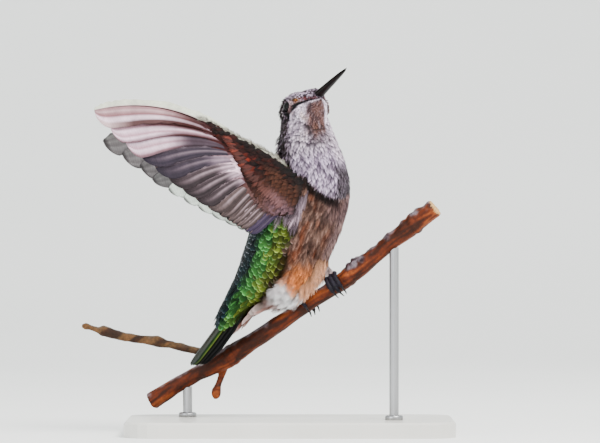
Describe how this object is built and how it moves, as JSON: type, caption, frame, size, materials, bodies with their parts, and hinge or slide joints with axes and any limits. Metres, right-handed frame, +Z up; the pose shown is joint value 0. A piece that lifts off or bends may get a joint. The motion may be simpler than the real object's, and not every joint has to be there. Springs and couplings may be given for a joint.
{
  "type": "hummingbird on a perch",
  "caption": "Hummingbird with wings raised over its back, gripping a cut length of bare branch held on a flat base by rods.",
  "frame": {"origin": "middle of the underside of the stand's flat base", "axes": "+Z up. The branch climbs towards +X and the bird's trunk leans up towards +X. The bird's right side and its turned head face -Y. The raised wings sweep back towards -X."},
  "size_m": [0.0963, 0.054, 0.0933],
  "materials": {
    "plumage_green": "satin",
    "plumage_grey": "matte",
    "wing": "satin",
    "bill": "satin",
    "eye": "gloss",
    "foot": "matte",
    "bark": "matte",
    "stand_base": "satin",
    "stand_metal": "satin"
  },
  "bodies": {
    "root": {"bill_lower": "bill", "bill_upper": "bill", "claw_left_front_inner": "bill", "claw_left_front_middle": "bill", "claw_left_front_outer": "bill", "claw_left_hind": "bill", "claw_right_front_inner": "bill", "claw_right_front_middle": "bill", "claw_right_front_outer": "bill", "claw_right_hind": "bill", "eye_left": "eye", "eye_right": "eye", "head": "plumage_grey", "leg_left": "foot", "leg_right": "foot", "neck": "plumage_grey", "perch_branch": "bark", "perch_stub": "bark", "perch_twig": "bark", "rump": "plumage_green", "stand_base": "stand_base", "stand_rod_left": "stand_metal", "stand_rod_right": "stand_metal", "tail": "plumage_green", "toe_left_front_inner": "foot", "toe_left_front_middle": "foot", "toe_left_front_outer": "foot", "toe_left_hind": "foot", "toe_right_front_inner": "foot", "toe_right_front_middle": "foot", "toe_right_front_outer": "foot", "toe_right_hind": "foot", "trunk": "plumage_grey", "wing_left_arm": "wing", "wing_left_primaries": "wing", "wing_left_secondaries": "wing", "wing_right_arm": "wing", "wing_right_primaries": "wing", "wing_right_secondaries": "wing"}
  },
  "joints": []
}
